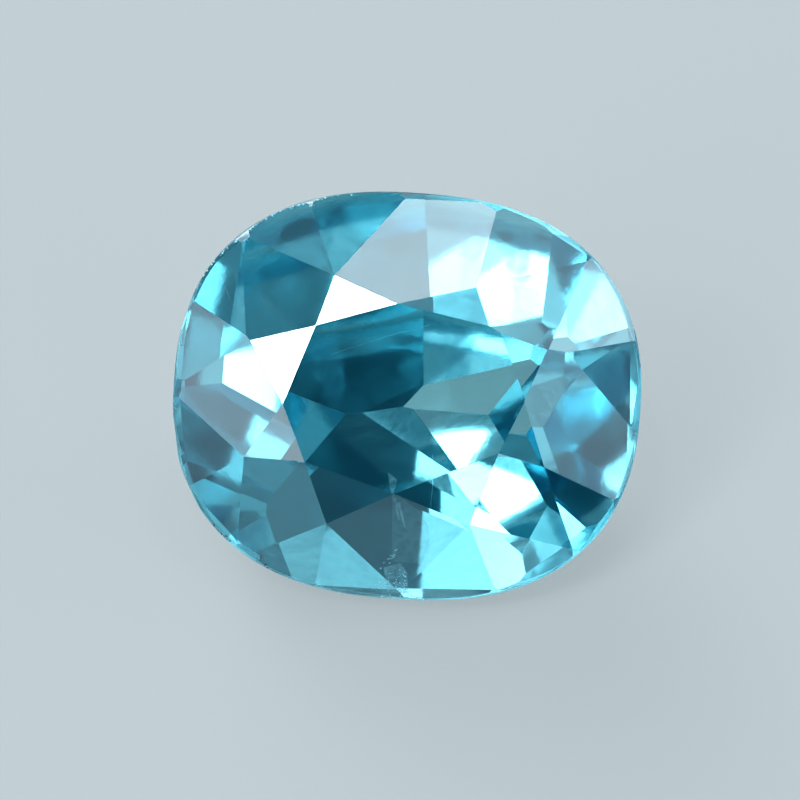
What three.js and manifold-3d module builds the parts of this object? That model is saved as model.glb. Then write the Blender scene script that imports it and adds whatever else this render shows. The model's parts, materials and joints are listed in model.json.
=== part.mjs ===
// A faceted blue zircon, cut as a cushion-shaped oval and lying on its pavilion.
//
// The stone is ground as a cutter would do it. A turned blank has the outline and the rounded girdle,
// and a flat lap then takes one facet after another off it: the table, the crown mains, the stars, the
// upper girdle facets, and under the girdle the steps of the pavilion.
// The crown's facets are planes through named points of the facet plan, so neighbours meet along edges.
// The pavilion's are set as a cutter sets them, by direction, slope and depth.
//
// Cutting frame: millimetres, Z up along the table's normal, Z = 0 half way up the girdle.
// Directions round the stone are in degrees from +X towards +Y.

import * as THREE from 'three';
import { mergeVertices } from 'three/addons/utils/BufferGeometryUtils.js';
import Module from 'manifold-3d';

const wasm = await Module();
wasm.setup();

// Driving dimensions of the outline and the heights.
const girdleLength = 8.0;
const girdleWidth = 6.96;
const outlineFullness = 2.4;      // 2 is an ellipse, more is a fuller cushion
const outlineTurn = -4.1;         // the outline sits slightly turned against the facets
const girdleHalfHeight = 0.19;    // from the girdle's middle to the facets above and below it
const rimWidth = 0.13;            // how far the facets start inside the widest outline
const tableHeight = 1.3;
const keelDepth = 2.7;

// The blank's girdle from its middle up: share of its height, and share of the rim's width taken in.
const rimProfile = [
  { up: 0.25, inward: 0.0 },
  { up: 0.65, inward: 0.3 },
  { up: 1.0, inward: 1.0 },
];
const shoulderSlope = 2.3;        // the blank beyond its rim, steeper than any facet it is cut to
const blankHeightShare = 1.2;     // the blank's height over the finished stone's, above and below
const outlineSteps = 144;
const lapSize = 4 * girdleLength; // the block that stands for the flat lap, wider than the blank
const weldDistance = 1e-5;        // corners closer together than this are one corner

// The crown's facet plan, anticlockwise from the far side. Under each corner of the table a main facet
// runs down to the girdle, which it reaches in the given direction and ends there as wide as given.
// A main that bites into the table starts at a point of its own.
const crownMains = [
  { corner: [-0.17, 1.57], reach: 90.6, endWidth: 0.0 },
  { corner: [-1.56, 1.2], reach: 136.3, endWidth: 0.12 },
  { corner: [-2.12, -0.14], reach: 178.7, endWidth: 0.29 },
  { corner: [-1.75, -1.12], reach: 222.7, endWidth: 0.36 },
  { corner: [-0.22, -1.67], reach: 268.0, endWidth: 0.0 },
  { corner: [1.56, -0.98], reach: 317.2, endWidth: 0.0 },
  { corner: [2.02, -0.07], reach: 351.9, endWidth: 0.0 },
  { corner: [1.57, 1.15], start: [1.53, 1.11], reach: 396.9, endWidth: 0.0 },
];

// Between one main and the next: the lower point of the star facet, and the direction in which the two
// girdle facets under it part. Where the first of them was cut too far out, it stops short of the star.
const crownStars = [
  { point: [-1.24, 2.06, 1.08], parting: 116.8 },
  { point: [-2.68, 0.95, 0.94], parting: 156.2, shortOf: [-2.76, 1.18] },
  { point: [-2.79, -1.04, 0.88], parting: 202.3 },
  { point: [-1.38, -2.18, 0.98], parting: 243.7 },
  { point: [1.06, -2.2, 0.935], parting: 294.4 },
  { point: [2.34, -1.22, 0.95], parting: 333.5 },
  { point: [2.41, 0.78, 1.19], parting: 373.7, shortOf: [2.86, 0.55] },
  { point: [1.18, 1.85, 1.03], parting: 424.2 },
];

// The pavilion's upper step: each facet touches the rim in the direction that it faces.
const girdleStep = [
  { faces: 54, slope: 59.5 },
  { faces: 129, slope: 49.5 },
  { faces: 161, slope: 65 },
  { faces: 186, slope: 65 },
  { faces: 204, slope: 65.5 },
  { faces: 224, slope: 62 },
  { faces: 268, slope: 49.5 },
  { faces: 306, slope: 56 },
  { faces: 354, slope: 53 },
];

// The lower steps, down to the keel, a short level edge instead of a point. Each facet's plane crosses the
// upright line through the keel's near end at the given height.
const keelEnd = [-0.3, -0.07];
const lowerSteps = [
  { faces: 46, slope: 21, crosses: -2.75 },
  { faces: 49, slope: 38.5, crosses: -3.5 },
  { faces: 76, slope: 35.5, crosses: -2.8 },
  { faces: 104, slope: 35.5, crosses: -2.6 },
  { faces: 135, slope: 42, crosses: -3.55 },
  { faces: 208, slope: 33, crosses: -3.15 },
  { faces: 224, slope: 41, crosses: -3.6 },
  { faces: 239, slope: 43, crosses: -3.65 },
  { faces: 268, slope: 37.5, crosses: -2.85 },
  { faces: 273, slope: 34, crosses: -2.8 },
  { faces: 290, slope: 30.5, crosses: -2.85 },
  { faces: 304, slope: 37.5, crosses: -3.5 },
  { faces: 348, slope: 40, crosses: -3.8 },
];
const restingFacing = 268;        // the stone lies on the lower step's facet that faces this way

const zirconBlue = 0x4fb3c8;

const radians = (degrees) => THREE.MathUtils.degToRad(degrees);
const facing = (degrees) => new THREE.Vector3(Math.cos(radians(degrees)), Math.sin(radians(degrees)), 0);

// How far the widest outline is from the axis in a direction.
function outlineRadius(direction) {
  const { x, y } = facing(direction - outlineTurn);
  const along = Math.abs((2 * x) / girdleLength) ** outlineFullness;
  const across = Math.abs((2 * y) / girdleWidth) ** outlineFullness;
  return (along + across) ** (-1 / outlineFullness);
}

// Where facets reach the girdle: a point at the inner side of the rounded rim.
function rimPoint(direction, z = 0) {
  const inside = 1 - (2 * rimWidth) / girdleLength;
  return facing(direction).multiplyScalar(outlineRadius(direction) * inside).setZ(z);
}

// The rim's point that lies farthest out in a direction, where a facet that faces it touches the girdle.
function touchPoint(direction, z) {
  const wholeDegrees = Array.from({ length: 360 }, (_, degree) => degree);
  const points = wholeDegrees.map((degree) => rimPoint(degree, z));
  const reachOf = (point) => point.dot(facing(direction));
  return points.reduce((best, point) => (reachOf(point) > reachOf(best) ? point : best));
}

// A closed geometry as a solid: only its positions are kept, and shared corners are merged.
function solidOf(geometry) {
  const bare = geometry.clone();
  bare.deleteAttribute('normal');
  bare.deleteAttribute('uv');
  const merged = mergeVertices(bare, weldDistance);
  return new wasm.Manifold(new wasm.Mesh({
    numProp: 3,
    vertProperties: new Float32Array(merged.attributes.position.array),
    triVerts: new Uint32Array(merged.index.array),
  }));
}

// The turned blank: a round lathe shape, drawn in or out in each direction to follow the outline.
function blank() {
  const halfLength = girdleLength / 2;
  const rim = rimProfile.map(({ up, inward }) => [halfLength - inward * rimWidth, up * girdleHalfHeight]);
  const shoulder = (height) => halfLength - rimWidth - (height - girdleHalfHeight) / shoulderSlope;
  const top = tableHeight * blankHeightShare;
  const bottom = -keelDepth * blankHeightShare;
  const profile = [
    [0, bottom],
    [shoulder(-bottom), bottom],
    ...rim.toReversed().map(([radius, height]) => [radius, -height]),
    ...rim,
    [shoulder(top), top],
    [0, top],
  ];
  const spine = profile.map(([radius, height]) => new THREE.Vector2(radius, height));
  const lathe = new THREE.LatheGeometry(spine, outlineSteps).rotateX(Math.PI / 2);
  const position = lathe.attributes.position;
  for (let i = 0; i < position.count; i += 1) {
    const direction = THREE.MathUtils.radToDeg(Math.atan2(position.getY(i), position.getX(i)));
    const draw = outlineRadius(direction) / halfLength;
    position.setXYZ(i, position.getX(i) * draw, position.getY(i) * draw, position.getZ(i));
  }
  return solidOf(lathe);
}

// The plane through three points, turned to face away from the middle of the stone.
function facetThrough(a, b, c) {
  const plane = new THREE.Plane().setFromCoplanarPoints(a, b, c);
  return plane.constant > 0 ? plane.negate() : plane;
}

// The height at which a facet's plane passes over a point of the plan.
function heightOn(plane, [x, y]) {
  return -(plane.constant + plane.normal.x * x + plane.normal.y * y) / plane.normal.z;
}

// What the lap takes away beyond a facet: a block with one side on the facet's plane.
function lap(plane) {
  const block = new THREE.BoxGeometry(lapSize, lapSize, lapSize).translate(0, 0, lapSize / 2);
  const turn = new THREE.Quaternion().setFromUnitVectors(new THREE.Vector3(0, 0, 1), plane.normal);
  block.applyQuaternion(turn);
  block.translate(...plane.normal.clone().multiplyScalar(-plane.constant));
  return solidOf(block);
}

// The crown: table, mains, stars and upper girdle facets.
function crownFacets() {
  const next = (i) => (i + 1) % crownMains.length;
  const before = (i) => (i + crownMains.length - 1) % crownMains.length;
  const table = new THREE.Plane(new THREE.Vector3(0, 0, 1), -tableHeight);
  const corners = crownMains.map(({ corner }) => new THREE.Vector3(...corner, tableHeight));
  const starPoints = crownStars.map(({ point }) => new THREE.Vector3(...point));
  const mains = crownMains.map(({ corner, start = corner }, i) => (
    facetThrough(new THREE.Vector3(...start, tableHeight), starPoints[before(i)], starPoints[i])
  ));
  const stars = starPoints.map((point, i) => facetThrough(corners[i], corners[next(i)], point));
  const ends = crownMains.map(({ reach, endWidth }, i) => {
    const sideways = facing(reach + 90).multiplyScalar(endWidth / 2);
    const endAt = (point) => point.setZ(heightOn(mains[i], [point.x, point.y]));
    return { from: endAt(rimPoint(reach).sub(sideways)), to: endAt(rimPoint(reach).add(sideways)) };
  });
  const girdleFacets = starPoints.flatMap((starPoint, i) => {
    const [x, y] = crownStars[i].shortOf ?? crownStars[i].point;
    const firstTop = new THREE.Vector3(x, y, heightOn(mains[i], [x, y]));
    const low = rimPoint(crownStars[i].parting, girdleHalfHeight);
    return [facetThrough(firstTop, ends[i].to, low), facetThrough(starPoint, low, ends[next(i)].from)];
  });
  return [table, ...mains, ...stars, ...girdleFacets];
}

// The outward normal of a pavilion facet: it faces a direction and down, a level one straight down.
function pavilionNormal({ faces, slope }) {
  return facing(faces).multiplyScalar(Math.sin(radians(slope))).setZ(-Math.cos(radians(slope)));
}

// The pavilion: the girdle step from the rim, and the lower steps down to the keel.
function pavilionFacets() {
  const facetAt = (facet, point) => (
    new THREE.Plane().setFromNormalAndCoplanarPoint(pavilionNormal(facet), point)
  );
  const upper = girdleStep.map((facet) => facetAt(facet, touchPoint(facet.faces, -girdleHalfHeight)));
  const lower = lowerSteps.map((facet) => facetAt(facet, new THREE.Vector3(...keelEnd, facet.crosses)));
  return [...upper, ...lower];
}

const facets = [...crownFacets(), ...pavilionFacets()];
const stone = facets.reduce((solid, plane) => solid.subtract(lap(plane)), blank());

// The cut solid as a geometry with flat facets.
function geometryOf(solid) {
  const mesh = solid.getMesh();
  const geometry = new THREE.BufferGeometry();
  geometry.setAttribute('position', new THREE.BufferAttribute(new Float32Array(mesh.vertProperties), 3));
  geometry.setIndex(new THREE.BufferAttribute(new Uint32Array(mesh.triVerts), 1));
  const flat = geometry.toNonIndexed();
  flat.computeVertexNormals();
  return flat;
}

const zircon = new THREE.Mesh(
  geometryOf(stone),
  new THREE.MeshStandardMaterial({ color: zirconBlue, roughness: 0.02, metalness: 0.0 }),
);
zircon.name = 'zircon';

// The stone lies on one pavilion facet: it is turned until that facet faces straight down, and set on Z = 0.
const restingNormal = pavilionNormal(lowerSteps.find(({ faces }) => faces === restingFacing));
zircon.quaternion.setFromUnitVectors(restingNormal, new THREE.Vector3(0, 0, -1));
zircon.updateMatrixWorld();
const extent = new THREE.Box3().setFromObject(zircon, true);
const middle = extent.getCenter(new THREE.Vector3());
zircon.position.set(-middle.x, -middle.y, -extent.min.z);

const group = new THREE.Group();
group.add(zircon);

export default group;
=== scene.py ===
"""A faceted blue zircon, loose on a pale table, seen straight at its table facet.

The stone's outline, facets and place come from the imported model. Places on the stone are given in its
own plan: millimetres across the table facet, x to the right and y up as the camera sees it, and z along
the table's normal from the middle of the girdle.
"""

import json
import math

import bmesh
import bpy
from mathutils import Matrix, Vector
from mathutils.bvhtree import BVHTree


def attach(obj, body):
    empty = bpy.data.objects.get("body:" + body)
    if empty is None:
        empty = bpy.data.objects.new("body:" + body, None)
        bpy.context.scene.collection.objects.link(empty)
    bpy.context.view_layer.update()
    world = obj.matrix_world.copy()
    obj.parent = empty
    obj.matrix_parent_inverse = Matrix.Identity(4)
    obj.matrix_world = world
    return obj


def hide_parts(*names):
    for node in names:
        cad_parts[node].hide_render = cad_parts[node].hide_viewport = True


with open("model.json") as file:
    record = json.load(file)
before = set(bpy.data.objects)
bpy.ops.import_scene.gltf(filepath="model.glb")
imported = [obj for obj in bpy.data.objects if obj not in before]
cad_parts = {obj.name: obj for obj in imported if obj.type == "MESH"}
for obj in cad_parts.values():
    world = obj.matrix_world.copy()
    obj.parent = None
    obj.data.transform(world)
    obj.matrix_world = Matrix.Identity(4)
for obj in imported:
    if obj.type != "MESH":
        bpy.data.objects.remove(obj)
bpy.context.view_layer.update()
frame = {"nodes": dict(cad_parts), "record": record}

bl_info = {
    "name": "Faceted Zircon",
    "version": (1, 0, 0),
    "blender": (4, 5, 0),
    "location": "3D View > Sidebar > Zircon",
    "description": "A faceted blue zircon with its inclusions, on a plain lit table",
    "category": "Add Mesh",
}

MM = 0.001

# The table facet carries the plan's frame: its mount lies 1.3 mm above the middle of the girdle. The stone
# was turned from its plan about one level axis until it lay on its resting facet.
TABLE_HEIGHT = 1.3
TABLE = next(mount for mount in frame["record"]["mounts"] if mount["name"] == "table")
PLAN_UP = Vector(TABLE["axis"]).normalized()
PLAN_TURN = Vector((0.0, 0.0, 1.0)).rotation_difference(PLAN_UP)
PLAN_RIGHT = PLAN_TURN @ Vector((1.0, 0.0, 0.0))
PLAN_FAR = PLAN_TURN @ Vector((0.0, 1.0, 0.0))
PLAN_ORIGIN = Vector(TABLE["pos_m"]) - PLAN_UP * TABLE_HEIGHT * MM

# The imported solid's surface, to find how high the crown is over a place on the plan.
SOLID = frame["nodes"]["zircon"].data
SURFACE = BVHTree.FromPolygons([v.co for v in SOLID.vertices], [p.vertices for p in SOLID.polygons])
WELL_ABOVE = 5.0                 # a height over the whole stone, in millimetres


def on_plan(x, y, z):
    """A place on the stone's plan, in millimetres, as a point of the frame in metres."""
    return PLAN_ORIGIN + (PLAN_RIGHT * x + PLAN_FAR * y + PLAN_UP * z) * MM


def below_crown(x, y, depth):
    """The point that lies depth millimetres under the crown's surface at a place on the plan."""
    hit = SURFACE.ray_cast(on_plan(x, y, WELL_ABOVE), -PLAN_UP)[0]
    return hit - PLAN_UP * depth * MM


def plan_height(point):
    """How far a point lies above the middle of the girdle, along the table's normal, in metres."""
    return (point - PLAN_ORIGIN).dot(PLAN_UP)


def plan_direction(point):
    """The direction of a point on the plan, in degrees from +X towards +Y."""
    offset = point - PLAN_ORIGIN
    return math.degrees(math.atan2(offset.dot(PLAN_FAR), offset.dot(PLAN_RIGHT))) % 360


def towards(polar, azimuth):
    """The direction polar degrees off the table's normal, towards azimuth as the camera sees it."""
    tilt, turn = math.radians(polar), math.radians(azimuth)
    sideways = PLAN_RIGHT * math.cos(turn) + PLAN_FAR * math.sin(turn)
    return (PLAN_UP * math.cos(tilt) + sideways * math.sin(tilt)).normalized()


def linear(hex_colour, alpha=1.0):
    """An sRGB hex value as the linear colour that Blender works in."""
    channels = [int(hex_colour[i:i + 2], 16) / 255 for i in (1, 3, 5)]
    curve = [c / 12.92 if c <= 0.04045 else ((c + 0.055) / 1.055) ** 2.4 for c in channels]
    return (*curve, alpha)


def add_node(tree, kind, links=None, **settings):
    """Adds a node, sets its properties and its sockets, and links other nodes' outputs to its sockets."""
    node = tree.nodes.new(kind)
    for name, value in settings.items():
        if hasattr(node, name):
            setattr(node, name, value)
        else:
            node.inputs[name.replace("_", " ")].default_value = value
    for name, output in (links or {}).items():
        tree.links.new(output, node.inputs[name])
    return node


def new_material(name):
    """A material with an empty node tree and its output node."""
    material = bpy.data.materials.new(name)
    material.use_nodes = True
    material.node_tree.nodes.clear()
    output = material.node_tree.nodes.new("ShaderNodeOutputMaterial")
    return material, material.node_tree, output


def node_group(name, inputs):
    """A geometry tree with its geometry in and out, and named inputs: (name, socket type, default)."""
    tree = bpy.data.node_groups.new(name, "GeometryNodeTree")
    tree.interface.new_socket("Geometry", in_out="INPUT", socket_type="NodeSocketGeometry")
    tree.interface.new_socket("Geometry", in_out="OUTPUT", socket_type="NodeSocketGeometry")
    for label, kind, default in inputs:
        socket = tree.interface.new_socket(label, in_out="INPUT", socket_type=kind)
        socket.default_value = default
    entry = tree.nodes.new("NodeGroupInput")
    return tree, entry.outputs


def finish_group(tree, geometry, material):
    """Ends a tree in real geometry with its material."""
    real = add_node(tree, "GeometryNodeRealizeInstances", {"Geometry": geometry})
    dressed = add_node(tree, "GeometryNodeSetMaterial", {"Geometry": real.outputs[0]}, Material=material)
    end = tree.nodes.new("NodeGroupOutput")
    tree.links.new(dressed.outputs[0], end.inputs[0])
    return tree


def random_vector(tree, low, high, seed, step):
    """A random vector for each point, from the tree's seed moved on by step."""
    moved = add_node(tree, "ShaderNodeMath", {0: seed}, operation="ADD")
    moved.inputs[1].default_value = step
    value = add_node(tree, "FunctionNodeRandomValue", {"Seed": moved.outputs[0]}, data_type="FLOAT_VECTOR")
    value.inputs[0].default_value = low
    value.inputs[1].default_value = high
    return value.outputs[0]


def scaled(tree, vector, factor):
    """A vector times a number."""
    return add_node(
        tree, "ShaderNodeVectorMath", {"Vector": vector, "Scale": factor}, operation="SCALE",
    ).outputs["Vector"]


def grown(name, mesh, tree, values):
    """Runs a geometry tree on a mesh with the given inputs, and returns the result as a plain mesh."""
    carrier = bpy.data.objects.new(name + "_carrier", mesh)
    bpy.context.scene.collection.objects.link(carrier)
    modifier = carrier.modifiers.new(name, "NODES")
    modifier.node_group = tree
    for item in tree.interface.items_tree:
        if item.in_out == "INPUT" and item.name in values:
            modifier[item.identifier] = values[item.name]
    evaluated = carrier.evaluated_get(bpy.context.evaluated_depsgraph_get())
    result = bpy.data.meshes.new_from_object(evaluated)
    result.name = name
    bpy.data.objects.remove(carrier)
    return result


def crystal(name, roughness, bump_scale, bump_depth):
    """Clear zircon with a surface finish of its own.

    The bumps are the marks that the lap leaves, and the finish is a little duller where they are denser.
    The blue comes from the depth of the crystal, so it is set as absorption and not on the surface.
    """
    settings = bpy.context.scene.zircon_stone
    material, tree, output = new_material(name)
    place = add_node(tree, "ShaderNodeTexCoord")
    marks = add_node(
        tree, "ShaderNodeTexNoise", {"Vector": place.outputs["Object"]},
        Scale=1 / bump_scale, Detail=3.0, Roughness=0.6,
    )
    bump = add_node(
        tree, "ShaderNodeBump", {"Height": marks.outputs["Fac"]}, Strength=1.0, Distance=bump_depth,
    )
    finish = add_node(
        tree, "ShaderNodeMapRange", {"Value": marks.outputs["Fac"]},
        From_Min=0.3, From_Max=0.7, To_Min=0.8 * roughness, To_Max=1.2 * roughness,
    )
    surface = add_node(
        tree, "ShaderNodeBsdfPrincipled",
        {"Normal": bump.outputs["Normal"], "Roughness": finish.outputs["Result"]},
        Base_Color=(1.0, 1.0, 1.0, 1.0), IOR=settings.index, Transmission_Weight=1.0,
    )
    depth = add_node(
        tree, "ShaderNodeVolumeAbsorption",
        Color=settings.body_colour[:] + (1.0,), Density=settings.body_density,
    )
    tree.links.new(surface.outputs["BSDF"], output.inputs["Surface"])
    tree.links.new(depth.outputs["Volume"], output.inputs["Volume"])
    return material


def polished_crown():
    """The crown's mirror polish: crisp reflections, with a faint ripple that bends them a little."""
    roughness = bpy.context.scene.zircon_stone.crown_polish
    return crystal("polished_crown", roughness, bump_scale=0.5 * MM, bump_depth=0.0005 * MM)


def polished_pavilion():
    """The pavilion's facets, seen through the crystal.

    Zircon splits each ray in two, so edges seen through it look doubled and soft. The pavilion's slight
    roughness stands for that.
    """
    roughness = bpy.context.scene.zircon_stone.pavilion_polish
    return crystal("polished_pavilion", roughness, bump_scale=0.5 * MM, bump_depth=0.0015 * MM)


def ground_girdle():
    """The girdle is ground and only half polished, so it spreads the light into a soft pale band.

    Its grit is finer than a pixel and is drawn a few times coarser.
    """
    roughness = bpy.context.scene.zircon_stone.girdle_roughness
    return crystal("ground_girdle", roughness, bump_scale=0.03 * MM, bump_depth=0.0008 * MM)


def broken(name, colour, clearness, painted_glow):
    """Broken crystal: tiny rough flakes that catch the light as grains of the given colour.

    The stone traps light, which reaches a break in it from all sides; the glow given last is a painted glow
    that stands for that light.
    """
    material, tree, output = new_material(name)
    place = add_node(tree, "ShaderNodeTexCoord")
    grain = add_node(
        tree, "ShaderNodeTexNoise", {"Vector": place.outputs["Object"]}, Scale=1 / (0.02 * MM), Detail=4.0,
    )
    bump = add_node(
        tree, "ShaderNodeBump", {"Height": grain.outputs["Fac"]}, Strength=0.8, Distance=0.004 * MM,
    )
    # The emission is a painted glow for the light trapped in the stone, not a lamp.
    surface = add_node(
        tree, "ShaderNodeBsdfPrincipled", {"Normal": bump.outputs["Normal"]},
        Base_Color=linear(colour), Roughness=0.4, IOR=bpy.context.scene.zircon_stone.index,
        Transmission_Weight=clearness, Emission_Color=linear(colour), Emission_Strength=painted_glow,
    )
    tree.links.new(surface.outputs["BSDF"], output.inputs["Surface"])
    return material


def fresh_break():
    """A clean break in clear crystal, whitish where it is crushed, with a faint painted glow for the light
    trapped in the stone.
    """
    return broken("fresh_break", "#B4E2EC", 0.3, 0.2)


def stained_break():
    """An old break with a little rust in it, which reads as a brownish mark."""
    return broken("stained_break", "#6B5A50", 0.3, 0.0)


def veil(name, colour, cover):
    """A healed crack inside the crystal: a film of tiny voids, whitish and mostly see-through, with a faint
    painted glow.
    """
    material, tree, output = new_material(name)
    place = add_node(tree, "ShaderNodeTexCoord")
    voids = add_node(
        tree, "ShaderNodeTexNoise", {"Vector": place.outputs["Object"]}, Scale=1 / (0.12 * MM), Detail=5.0,
    )
    patches = add_node(
        tree, "ShaderNodeMapRange", {"Value": voids.outputs["Fac"]},
        From_Min=0.35, From_Max=0.65, To_Min=0.3 * cover, To_Max=cover,
    )
    # The faint emission is a painted glow for the light trapped in the stone, not a lamp.
    surface = add_node(
        tree, "ShaderNodeBsdfPrincipled", {"Alpha": patches.outputs["Result"]},
        Base_Color=linear(colour), Roughness=0.6, Emission_Color=linear(colour), Emission_Strength=0.25,
    )
    tree.links.new(surface.outputs["BSDF"], output.inputs["Surface"])
    return material


def table_glass():
    """The light table's opal glass: a pale blue-grey glow of its own, and a dull sheen from the room."""
    settings = bpy.context.scene.zircon_stage
    material, tree, output = new_material("opal_glass")
    place = add_node(tree, "ShaderNodeTexCoord")
    grain = add_node(
        tree, "ShaderNodeTexNoise", {"Vector": place.outputs["Object"]}, Scale=1 / (0.4 * MM), Detail=2.0,
    )
    bump = add_node(
        tree, "ShaderNodeBump", {"Height": grain.outputs["Fac"]}, Strength=0.3, Distance=0.01 * MM,
    )
    surface = add_node(
        tree, "ShaderNodeBsdfPrincipled", {"Normal": bump.outputs["Normal"]},
        Base_Color=settings.floor_colour[:] + (1.0,), Roughness=0.9, Specular_IOR_Level=0.2,
        Emission_Color=settings.floor_light[:] + (1.0,), Emission_Strength=settings.floor_glow,
    )
    tree.links.new(surface.outputs["BSDF"], output.inputs["Surface"])
    return material


class ZirconStoneSettings(bpy.types.PropertyGroup):
    """What a cutter would ask of the crystal and its polish."""

    index: bpy.props.FloatProperty(
        name="Refractive index", description="How strongly the crystal bends light",
        default=1.95, min=1.0, max=3.0,
    )
    crown_polish: bpy.props.FloatProperty(
        name="Crown polish", description="Roughness of the crown's facets", default=0.02, min=0.0, max=1.0,
    )
    pavilion_polish: bpy.props.FloatProperty(
        name="Pavilion polish", description="Roughness of the pavilion's facets",
        default=0.07, min=0.0, max=1.0,
    )
    edge_wear: bpy.props.FloatProperty(
        name="Edge wear", description="Width of the wear along the facet edges",
        default=0.012 * MM, unit="LENGTH", precision=6,
    )
    girdle_roughness: bpy.props.FloatProperty(
        name="Girdle roughness", description="How coarsely the girdle is ground",
        default=0.35, min=0.0, max=1.0,
    )
    nick_size: bpy.props.FloatProperty(
        name="Nick size", description="Radius of the largest nicks along the girdle",
        default=0.032 * MM, unit="LENGTH", precision=6,
    )
    nick_spacing: bpy.props.FloatProperty(
        name="Nick spacing", description="Distance from one nick to the next along the girdle",
        default=0.024 * MM, unit="LENGTH", precision=6,
    )
    grain_size: bpy.props.FloatProperty(
        name="Grain size", description="Radius of the largest grains in the broken place",
        default=0.022 * MM, unit="LENGTH", precision=6,
    )
    grain_density: bpy.props.FloatProperty(
        name="Grain density", description="Grains in a square millimetre of the broken place",
        default=400.0,
    )
    thread_radius: bpy.props.FloatProperty(
        name="Thread radius", description="Radius of the fine threads inside",
        default=0.005 * MM, unit="LENGTH", precision=6,
    )
    body_colour: bpy.props.FloatVectorProperty(
        name="Body colour", description="Colour that the light keeps as it crosses the crystal",
        subtype="COLOR", default=(0.0, 0.765, 0.86), min=0.0, max=1.0,
    )
    body_density: bpy.props.FloatProperty(
        name="Body density", description="How fast the colour deepens with distance, per metre",
        default=170.0, min=0.0,
    )


class ZirconStageSettings(bpy.types.PropertyGroup):
    """The ground, the light and the camera."""

    floor_colour: bpy.props.FloatVectorProperty(
        name="Floor colour", description="How much of the room's light the opal glass gives back",
        subtype="COLOR", default=linear("#6C6C6C")[:3], min=0.0, max=1.0,
    )
    floor_light: bpy.props.FloatVectorProperty(
        name="Floor light", description="Colour of the light that comes up through the opal glass",
        subtype="COLOR", default=linear("#EDFAFF")[:3], min=0.0, max=1.0,
    )
    floor_glow: bpy.props.FloatProperty(
        name="Floor glow", description="Brightness of that light", default=0.345, min=0.0,
    )
    floor_size: bpy.props.FloatProperty(
        name="Floor size", description="Side of the square of opal glass", default=0.8, unit="LENGTH",
    )
    view_width: bpy.props.FloatProperty(
        name="View width", description="Width that the camera sees at the girdle",
        default=13.7 * MM, unit="LENGTH",
    )
    camera_distance: bpy.props.FloatProperty(
        name="Camera distance", description="From the girdle to the camera", default=0.3, unit="LENGTH",
    )
    softbox_distance: bpy.props.FloatProperty(
        name="Softbox distance", description="From the stone to the bright softboxes",
        default=0.28, unit="LENGTH",
    )
    softbox_size: bpy.props.FloatProperty(
        name="Softbox size", description="Width of the bright softboxes", default=0.03, unit="LENGTH",
    )
    softbox_glow: bpy.props.FloatProperty(
        name="Softbox glow", description="Brightness of the bright softboxes", default=14.0, min=0.0,
    )
    room_colour: bpy.props.FloatVectorProperty(
        name="Room colour", description="Colour of the room's own light between its lamps",
        subtype="COLOR", default=linear("#60BCD8")[:3], min=0.0, max=1.0,
    )
    room_light: bpy.props.FloatProperty(
        name="Room light", description="Brightness of the room between its lamps", default=0.14, min=0.0,
    )


# A polished facet and the glass under it never quite meet, so the facet still mirrors from inside.
AIR_GAP = 0.01 * MM

# The middle of the view on the plan, in millimetres.
VIEW_MIDDLE = (-0.122, -0.07, 0.0)

# Light crosses the stone many times before it leaves, so its paths are followed for long.
STONE_BOUNCES = 32
MIRROR_BOUNCES = 16

# The two bright softboxes: where each stands as the camera sees it, in degrees from the table's normal and
# round it. Each shows whole in one star facet of the crown and turns it white.
SOFTBOXES = {
    "key_far": {"polar": 33, "azimuth": 105},
    "key_left": {"polar": 42, "azimuth": 157},
}

# The soft lamps round the room, in order round the table's normal: where each stands as the camera sees
# it, how many degrees it spreads over, and how bright its middle is. The narrow bright ones turn a facet
# white.
SOFT_LAMPS = [
    {"polar": 27, "azimuth": 5, "spread": 6, "glow": 0.8},
    {"polar": 97, "azimuth": 15, "spread": 24, "glow": 0.5},
    {"polar": 40, "azimuth": 18, "spread": 12, "glow": 0.2},
    {"polar": 79, "azimuth": 30, "spread": 8, "glow": 2.8},
    {"polar": 65, "azimuth": 58, "spread": 8, "glow": 1.2},
    {"polar": 61, "azimuth": 78, "spread": 8, "glow": 5.0},
    {"polar": 41, "azimuth": 107, "spread": 6, "glow": 2.5},
    {"polar": 104, "azimuth": 112, "spread": 14, "glow": 8.0},
    {"polar": 94, "azimuth": 121, "spread": 6, "glow": 5.0},
    {"polar": 110, "azimuth": 125, "spread": 24, "glow": 4.0},
    {"polar": 40, "azimuth": 126, "spread": 8, "glow": 0.9},
    {"polar": 42, "azimuth": 130, "spread": 5, "glow": 3.0},
    {"polar": 41, "azimuth": 145, "spread": 5, "glow": 4.0},
    {"polar": 34, "azimuth": 146, "spread": 10, "glow": 1.6},
    {"polar": 80, "azimuth": 154, "spread": 6, "glow": 4.0},
    {"polar": 43, "azimuth": 158, "spread": 8, "glow": 1.4},
    {"polar": 27, "azimuth": 166, "spread": 8, "glow": 1.0},
    {"polar": 36, "azimuth": 175, "spread": 5, "glow": 3.5},
    {"polar": 69, "azimuth": 176, "spread": 14, "glow": 2.0},
    {"polar": 22, "azimuth": 185, "spread": 5, "glow": 1.7},
    {"polar": 46, "azimuth": 191, "spread": 8, "glow": 4.5},
    {"polar": 41, "azimuth": 211, "spread": 8, "glow": 1.2},
    {"polar": 49, "azimuth": 223, "spread": 14, "glow": 0.9},
    {"polar": 31, "azimuth": 336, "spread": 8, "glow": 0.6},
    {"polar": 73, "azimuth": 351, "spread": 5, "glow": 5.0},
    {"polar": 36, "azimuth": 352, "spread": 5, "glow": 2.0},
    {"polar": 60, "azimuth": 353, "spread": 8, "glow": 1.8},
]
LAMP_COLOUR = "#F0F6FA"


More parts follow.
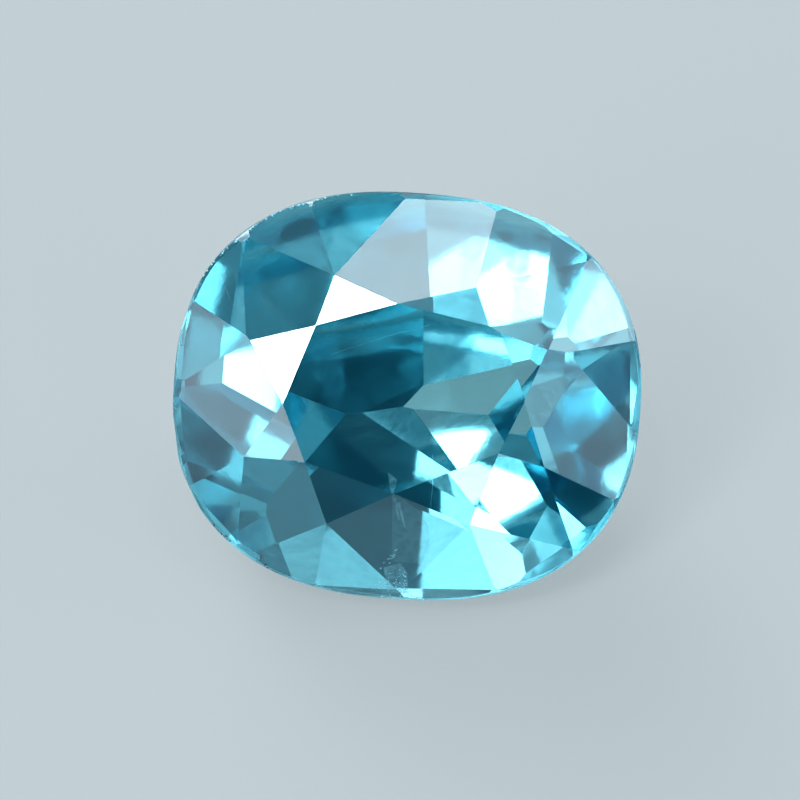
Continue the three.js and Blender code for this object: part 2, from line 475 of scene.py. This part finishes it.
WELD = 0.001 * MM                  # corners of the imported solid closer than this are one
FLAT_WITHIN = math.radians(1.0)    # triangles this close to one plane are one facet
SMALLEST_FACET = 0.15 * MM * MM    # a smaller flat next to the girdle is part of its rounding
GIRDLE_TOP = 0.25 * MM             # the rounding's reach on the plan's height, up and down
GIRDLE_BOTTOM = -1.0 * MM
CROWN, PAVILION, GIRDLE = 0, 1, 2  # the stone's finishes, by material index

# Where the edge between crown and girdle is nicked: from one direction on the plan to another, in degrees.
FRESH_NICKS = [(104, 152), (262, 274)]
STAINED_NICKS = [(212, 219), (227, 236)]
NICKED_SHARE = 0.6                 # of the places along such a stretch, this share has a nick


def shards_along(material):
    """A tree that strews small many-sided shards along a line, to be cut out of the girdle's edge.

    Shards that overlap are joined, so that together they take out one clean hollow.
    """
    tree, inputs = node_group("girdle_nicks", [
        ("Spacing", "NodeSocketFloat", 0.04 * MM),
        ("Size", "NodeSocketFloat", 0.04 * MM),
        ("Share", "NodeSocketFloat", 0.6),
        ("Seed", "NodeSocketInt", 1),
    ])
    seed, size = inputs["Seed"], inputs["Size"]
    line = add_node(tree, "GeometryNodeMeshToCurve", {"Mesh": inputs["Geometry"]})
    spaced = add_node(
        tree, "GeometryNodeResampleCurve", {"Curve": line.outputs[0], "Length": inputs["Spacing"]},
        mode="LENGTH",
    )
    drift = scaled(tree, random_vector(tree, (-1.0, -1.0, -1.0), (1.0, 1.0, 1.0), seed, 0), size)
    strewn = add_node(tree, "GeometryNodeSetPosition", {"Geometry": spaced.outputs[0], "Offset": drift})
    chosen = add_node(
        tree, "FunctionNodeRandomValue", {"Probability": inputs["Share"], "Seed": seed},
        data_type="BOOLEAN",
    )
    shard = add_node(tree, "GeometryNodeMeshIcoSphere", Radius=1.0, Subdivisions=1)
    placed = add_node(tree, "GeometryNodeInstanceOnPoints", {
        "Points": strewn.outputs[0],
        "Selection": chosen.outputs[3],
        "Instance": shard.outputs[0],
        "Rotation": random_vector(tree, (0.0, 0.0, 0.0), (math.tau, math.tau, math.tau), seed, 1),
        "Scale": scaled(tree, random_vector(tree, (0.25, 0.25, 0.25), (1.0, 1.0, 1.0), seed, 2), size),
    })
    joined = add_node(
        tree, "GeometryNodeMeshBoolean", {1: placed.outputs[0]}, operation="UNION", solver="MANIFOLD",
    )
    return finish_group(tree, joined.outputs[0], material)


def grains_over(material):
    """A tree that scatters small flat grains over a sheet."""
    tree, inputs = node_group("grains", [
        ("Density", "NodeSocketFloat", 400 / (MM * MM)),
        ("Size", "NodeSocketFloat", 0.03 * MM),
        ("Seed", "NodeSocketInt", 1),
    ])
    seed, size = inputs["Seed"], inputs["Size"]
    points = add_node(tree, "GeometryNodeDistributePointsOnFaces", {
        "Mesh": inputs["Geometry"], "Density": inputs["Density"], "Seed": seed,
    })
    grain = add_node(tree, "GeometryNodeMeshIcoSphere", Radius=1.0, Subdivisions=1)
    placed = add_node(tree, "GeometryNodeInstanceOnPoints", {
        "Points": points.outputs["Points"],
        "Instance": grain.outputs[0],
        "Rotation": random_vector(tree, (0.0, 0.0, 0.0), (math.tau, math.tau, math.tau), seed, 1),
        "Scale": scaled(tree, random_vector(tree, (0.2, 0.2, 0.1), (1.0, 0.8, 0.4), seed, 2), size),
    })
    return finish_group(tree, placed.outputs[0], material)


def thread_along(material):
    """A tree that draws a fine thread along a line, with small stray bends."""
    tree, inputs = node_group("thread", [
        ("Radius", "NodeSocketFloat", 0.008 * MM),
        ("Stray", "NodeSocketFloat", 0.01 * MM),
        ("Seed", "NodeSocketInt", 1),
    ])
    line = add_node(tree, "GeometryNodeMeshToCurve", {"Mesh": inputs["Geometry"]})
    fine = add_node(tree, "GeometryNodeResampleCurve", {"Curve": line.outputs[0]}, Count=24)
    stray = scaled(
        tree, random_vector(tree, (-1.0, -1.0, -1.0), (1.0, 1.0, 1.0), inputs["Seed"], 0), inputs["Stray"],
    )
    bent = add_node(tree, "GeometryNodeSetPosition", {"Geometry": fine.outputs[0], "Offset": stray})
    ring = add_node(tree, "GeometryNodeCurvePrimitiveCircle", {"Radius": inputs["Radius"]}, Resolution=6)
    tube = add_node(
        tree, "GeometryNodeCurveToMesh", {"Curve": bent.outputs[0], "Profile Curve": ring.outputs[0]},
        Fill_Caps=True,
    )
    return finish_group(tree, tube.outputs[0], material)


def line_mesh(name, points):
    """An open line through points, as a mesh of edges."""
    mesh = bpy.data.meshes.new(name)
    mesh.from_pydata(points, [(i, i + 1) for i in range(len(points) - 1)], [])
    return mesh


def film_mesh(name, outline, thickness):
    """A thin closed film inside the stone; its outline is given as (x, y, depth under the crown)."""
    shape = bmesh.new()
    front = [shape.verts.new(below_crown(*corner)) for corner in outline]
    back = [shape.verts.new(vert.co - PLAN_UP * thickness) for vert in front]
    shape.faces.new(front)
    shape.faces.new(reversed(back))
    for i, vert in enumerate(front):
        j = (i + 1) % len(front)
        shape.faces.new((vert, back[i], back[j], front[j]))
    bmesh.ops.triangulate(shape, faces=shape.faces)
    bmesh.ops.recalc_face_normals(shape, faces=shape.faces)
    mesh = bpy.data.meshes.new(name)
    shape.to_mesh(mesh)
    shape.free()
    return mesh


def add_piece(context, name, mesh, material=None):
    """Puts a finished mesh into the scene as a piece that moves with the stone."""
    piece = bpy.data.objects.new(name, mesh)
    context.scene.collection.objects.link(piece)
    if material is not None:
        mesh.materials.append(material)
    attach(piece, "root")
    return piece


class ZIRCON_OT_stone(bpy.types.Operator):
    """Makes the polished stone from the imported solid, with worn facet edges and a nicked girdle"""

    bl_idname = "zircon.stone"
    bl_label = "Polished stone"

    def execute(self, context):
        settings = context.scene.zircon_stone
        shape = bmesh.new()
        shape.from_mesh(SOLID)
        bmesh.ops.remove_doubles(shape, verts=shape.verts, dist=WELD)
        bmesh.ops.dissolve_limit(shape, angle_limit=FLAT_WITHIN, verts=shape.verts, edges=shape.edges)
        facets = {
            face for face in shape.faces
            if face.calc_area() > SMALLEST_FACET
            or not GIRDLE_BOTTOM < plan_height(face.calc_center_median()) < GIRDLE_TOP
        }
        if not facets:
            raise RuntimeError("the packed solid has no facets")
        for face in shape.faces:
            above = face.normal.dot(PLAN_UP) > 0
            face.material_index = (CROWN if above else PAVILION) if face in facets else GIRDLE
            face.smooth = face not in facets
        for edge in shape.edges:
            edge.smooth = all(face not in facets for face in edge.link_faces)
        fresh = self.girdle_edge(shape, FRESH_NICKS)
        stained = self.girdle_edge(shape, STAINED_NICKS)
        creases = [edge for edge in shape.edges if all(face in facets for face in edge.link_faces)]
        worn = bmesh.ops.bevel(
            shape, geom=creases, offset=settings.edge_wear, offset_type="WIDTH", segments=1,
            profile=0.5, affect="EDGES", clamp_overlap=True, material=CROWN,
        )
        for face in worn["faces"]:
            face.smooth = False
        mesh = bpy.data.meshes.new("stone")
        shape.to_mesh(mesh)
        shape.free()
        for material in (polished_crown(), polished_pavilion(), ground_girdle()):
            mesh.materials.append(material)
        stone = bpy.data.objects.new("stone", mesh)
        context.scene.collection.objects.link(stone)
        values = {"Spacing": settings.nick_spacing, "Size": settings.nick_size, "Share": NICKED_SHARE}
        for name, edge, material, seed in (
            ("fresh_nicks", fresh, fresh_break(), 4),
            ("stained_nicks", stained, stained_break(), 9),
        ):
            shards = grown(name, edge, shards_along(material), {**values, "Seed": seed})
            self.cut(context, stone, shards)
        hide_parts("zircon")
        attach(stone, "root")
        return {"FINISHED"}

    def girdle_edge(self, shape, stretches):
        """The edges between crown and girdle that lie in one of the stretches, as a mesh of edges."""
        places = []
        for edge in shape.edges:
            finishes = {face.material_index for face in edge.link_faces}
            middle = (edge.verts[0].co + edge.verts[1].co) / 2
            direction = plan_direction(middle)
            if finishes == {CROWN, GIRDLE} and any(start < direction < end for start, end in stretches):
                places.append((edge.verts[0].co.copy(), edge.verts[1].co.copy()))
        if not places:
            raise RuntimeError("no girdle edge found in the given directions")
        mesh = bpy.data.meshes.new("girdle_edge")
        points = [point for pair in places for point in pair]
        mesh.from_pydata(points, [(i, i + 1) for i in range(0, len(points), 2)], [])
        joined = bmesh.new()
        joined.from_mesh(mesh)
        bmesh.ops.remove_doubles(joined, verts=joined.verts, dist=WELD)
        joined.to_mesh(mesh)
        joined.free()
        return mesh

    def cut(self, context, stone, cutters):
        """Takes the cutters out of the stone; the cut faces get the cutters' material."""
        tool = bpy.data.objects.new(cutters.name, cutters)
        context.scene.collection.objects.link(tool)
        modifier = stone.modifiers.new("cut", "BOOLEAN")
        modifier.operation = "DIFFERENCE"
        modifier.solver = "MANIFOLD"
        modifier.material_mode = "TRANSFER"
        modifier.object = tool
        evaluated = stone.evaluated_get(context.evaluated_depsgraph_get())
        result = bpy.data.meshes.new_from_object(evaluated)
        stone.modifiers.remove(modifier)
        bpy.data.objects.remove(tool)
        stone.data = result


# Films inside the stone: their corners as (x, y, depth under the crown), in millimetres.
FILMS = {
    "feather_tip": {
        "outline": [(-0.33, -1.30, 0.10), (-0.26, -1.35, 0.10), (-0.17, -1.44, 0.12), (-0.23, -1.66, 0.06),
                    (-0.28, -1.65, 0.06)],
        "cover": 0.45,
    },
    "feather_veil": {
        "outline": [(-0.26, -1.66, 0.05), (-0.09, -1.73, 0.07), (0.19, -1.92, 0.10), (0.36, -2.16, 0.15),
                    (0.39, -2.55, 0.15), (0.22, -2.84, 0.12), (-0.26, -2.81, 0.08)],
        "cover": 0.12,
    },
    "broken_veil": {
        "outline": [(-0.40, -2.92, 0.05), (-0.12, -2.84, 0.05), (0.0, -3.00, 0.05), (0.02, -3.36, 0.05),
                    (-0.34, -3.34, 0.05)],
        "cover": 0.35,
    },
    "feather_wisp": {
        "outline": [(-0.17, -1.80, 0.04), (-0.12, -1.82, 0.04), (-0.01, -2.26, 0.04), (-0.06, -2.22, 0.04)],
        "cover": 0.35,
    },
    "feather_wisp_left": {
        "outline": [(-0.23, -1.72, 0.04), (-0.19, -1.74, 0.04), (-0.12, -2.10, 0.04), (-0.16, -2.12, 0.04)],
        "cover": 0.25,
    },
}
FILM_THICKNESS = 0.004 * MM

# The broken place at the girdle: patches of grains, each with its share of the full density and its seed.
BROKEN_PATCHES = {
    "broken_trail": {
        "outline": [(-0.20, -2.60, 0.02), (-0.14, -2.62, 0.02), (-0.29, -2.86, 0.02), (-0.45, -2.98, 0.02),
                    (-0.48, -2.94, 0.02), (-0.36, -2.80, 0.02)],
        "share": 1.0, "seed": 3,
    },
    "broken_rim": {
        "outline": [(-0.62, -3.24, 0.02), (-0.38, -3.10, 0.02), (-0.30, -3.24, 0.02), (-0.45, -3.32, 0.02)],
        "share": 1.5, "seed": 5,
    },
    "broken_cloud": {
        "outline": [(-0.38, -2.98, 0.03), (-0.04, -2.96, 0.03), (-0.02, -3.34, 0.03), (-0.34, -3.32, 0.03)],
        "share": 0.5, "seed": 7,
    },
    "broken_edge": {
        "outline": [(-0.09, -3.00, 0.03), (-0.02, -3.00, 0.03), (0.0, -3.38, 0.03), (-0.07, -3.38, 0.03)],
        "share": 2.0, "seed": 11,
    },
}

# Fine threads inside: the points that each runs through, as (x, y, depth under the crown), and how far it
# strays from them.
THREADS = {
    "thread_low": [(0.43, -1.00, 0.25), (0.42, -1.45, 0.25), (0.39, -1.96, 0.12)],
    "thread_far": [(-1.32, 0.70, 0.30), (-0.40, 1.00, 0.30), (0.39, 1.21, 0.30)],
}
THREAD_STRAY = 0.01 * MM


class ZIRCON_OT_inclusions(bpy.types.Operator):
    """Makes the feather, the broken place at the girdle and the threads inside the stone"""

    bl_idname = "zircon.inclusions"
    bl_label = "Inclusions"

    def execute(self, context):
        settings = context.scene.zircon_stone
        for name, film in FILMS.items():
            material = veil(name, "#86C4D4", film["cover"])
            add_piece(context, name, film_mesh(name, film["outline"], FILM_THICKNESS), material)
        grains = grains_over(bpy.data.materials.get("fresh_break") or fresh_break())
        for name, patch in BROKEN_PATCHES.items():
            sheet = bpy.data.meshes.new(name)
            corners = [below_crown(*corner) for corner in patch["outline"]]
            sheet.from_pydata(corners, [], [range(len(corners))])
            add_piece(context, name, grown(name, sheet, grains, {
                "Density": settings.grain_density * patch["share"] / (MM * MM),
                "Size": settings.grain_size,
                "Seed": patch["seed"],
            }))
        threads = thread_along(veil("thread", "#A8DCE8", 0.25))
        for seed, (name, line) in enumerate(THREADS.items()):
            path = line_mesh(name, [below_crown(*point) for point in line])
            values = {"Radius": settings.thread_radius, "Stray": THREAD_STRAY, "Seed": seed}
            add_piece(context, name, grown(name, path, threads, values))
        return {"FINISHED"}


class ZIRCON_OT_stage(bpy.types.Operator):
    """Lays the floor and sets the lights and the camera"""

    bl_idname = "zircon.stage"
    bl_label = "Stage"

    def execute(self, context):
        settings = context.scene.zircon_stage
        self.lay_floor(context, settings)
        self.set_softboxes(context, settings)
        self.set_room(context, settings)
        self.set_camera(context, settings)
        context.scene.view_settings.view_transform = "Standard"
        context.scene.view_settings.look = "High Contrast"  # deep darks beside glaring facets
        light_paths = context.scene.cycles
        light_paths.max_bounces = STONE_BOUNCES
        light_paths.transmission_bounces = STONE_BOUNCES
        light_paths.glossy_bounces = MIRROR_BOUNCES
        return {"FINISHED"}

    def lay_floor(self, context, settings):
        """A square of opal glass, a hair under the stone."""
        half = settings.floor_size / 2
        low = -AIR_GAP
        corners = [(-half, -half, low), (half, -half, low), (half, half, low), (-half, half, low)]
        mesh = bpy.data.meshes.new("floor")
        mesh.from_pydata(corners, [], [(0, 1, 2, 3)])
        floor = bpy.data.objects.new("floor", mesh)
        floor.data.materials.append(table_glass())
        context.scene.collection.objects.link(floor)

    def set_softboxes(self, context, settings):
        """The bright discs of light, turned to the stone. A disc's power is glow times pi times area."""
        area = math.pi * (settings.softbox_size / 2) ** 2
        for name, place in SOFTBOXES.items():
            light = bpy.data.lights.new(name, "AREA")
            light.shape = "DISK"
            light.size = settings.softbox_size
            light.energy = settings.softbox_glow * math.pi * area
            lamp = bpy.data.objects.new(name, light)
            way = towards(place["polar"], place["azimuth"])
            lamp.matrix_world = (
                Matrix.Translation(PLAN_ORIGIN + way * settings.softbox_distance)
                @ way.to_track_quat("Z", "Y").to_matrix().to_4x4()
            )
            context.scene.collection.objects.link(lamp)

    def soft_lamp(self, tree, direction, soft):
        """The glow of one soft lamp in every direction: full in its middle and falling off to all sides."""
        sharpness = 1 / (1 - math.cos(math.radians(soft["spread"])))
        nearness = add_node(tree, "ShaderNodeVectorMath", {0: direction}, operation="DOT_PRODUCT")
        nearness.inputs[1].default_value = towards(soft["polar"], soft["azimuth"])
        falling = add_node(tree, "ShaderNodeMath", {0: nearness.outputs["Value"]}, operation="MULTIPLY_ADD")
        falling.inputs[1].default_value = sharpness
        falling.inputs[2].default_value = -sharpness
        spot = add_node(tree, "ShaderNodeMath", {0: falling.outputs[0]}, operation="EXPONENT")
        glow = add_node(tree, "ShaderNodeMath", {0: spot.outputs[0]}, operation="MULTIPLY")
        glow.inputs[1].default_value = soft["glow"]
        return glow.outputs[0]

    def set_room(self, context, settings):
        """The soft lamps all round, and the room's own faint blue between them."""
        world = bpy.data.worlds.new("room")
        world.use_nodes = True
        tree = world.node_tree
        direction = add_node(tree, "ShaderNodeTexCoord").outputs["Generated"]
        glows = [self.soft_lamp(tree, direction, soft) for soft in SOFT_LAMPS]
        light = glows[0]
        for glow in glows[1:]:
            light = add_node(tree, "ShaderNodeMath", {0: light, 1: glow}, operation="ADD").outputs[0]
        lamps = tree.nodes["Background"]
        lamps.inputs["Color"].default_value = linear(LAMP_COLOUR)
        tree.links.new(light, lamps.inputs["Strength"])
        room = add_node(
            tree, "ShaderNodeBackground",
            Color=settings.room_colour[:] + (1.0,), Strength=settings.room_light,
        )
        both = add_node(tree, "ShaderNodeAddShader", {0: lamps.outputs[0], 1: room.outputs[0]})
        tree.links.new(both.outputs[0], tree.nodes["World Output"].inputs["Surface"])
        context.scene.world = world

    def set_camera(self, context, settings):
        """The camera looks straight down the table's normal, so it sees the plan as drawn."""
        camera_data = bpy.data.cameras.new("camera")
        camera_data.lens = camera_data.sensor_width * settings.camera_distance / settings.view_width
        camera_data.clip_start = 0.001
        camera_data.clip_end = 10.0
        camera = bpy.data.objects.new("camera", camera_data)
        aim = on_plan(*VIEW_MIDDLE)
        turn = Matrix((PLAN_RIGHT, PLAN_FAR, PLAN_UP)).transposed().to_4x4()
        camera.matrix_world = Matrix.Translation(aim + PLAN_UP * settings.camera_distance) @ turn
        context.scene.collection.objects.link(camera)
        context.scene.camera = camera


class ZIRCON_PT_sidebar(bpy.types.Panel):
    """Shows the stone's and the stage's settings, and the buttons that make the pieces"""

    bl_idname = "ZIRCON_PT_sidebar"
    bl_label = "Faceted Zircon"
    bl_space_type = "VIEW_3D"
    bl_region_type = "UI"
    bl_category = "Zircon"

    def draw(self, context):
        for settings in (context.scene.zircon_stone, context.scene.zircon_stage):
            box = self.layout.box()
            for name in settings.bl_rna.properties.keys():
                if name not in ("rna_type", "name"):
                    box.prop(settings, name)
        for operator in OPERATORS:
            self.layout.operator(operator.bl_idname)


OPERATORS = (ZIRCON_OT_stone, ZIRCON_OT_inclusions, ZIRCON_OT_stage)
CLASSES = (ZirconStoneSettings, ZirconStageSettings, *OPERATORS, ZIRCON_PT_sidebar)


def register():
    """Registers the classes and hangs the settings on the scene."""
    for item in CLASSES:
        bpy.utils.register_class(item)
    bpy.types.Scene.zircon_stone = bpy.props.PointerProperty(type=ZirconStoneSettings)
    bpy.types.Scene.zircon_stage = bpy.props.PointerProperty(type=ZirconStageSettings)


def unregister():
    """Takes the settings and the classes away again."""
    del bpy.types.Scene.zircon_stage
    del bpy.types.Scene.zircon_stone
    for item in reversed(CLASSES):
        bpy.utils.unregister_class(item)


def main():
    """Makes everything in order."""
    register()
    bpy.ops.zircon.stone()
    bpy.ops.zircon.inclusions()
    bpy.ops.zircon.stage()


if __name__ == "__main__":
    main()
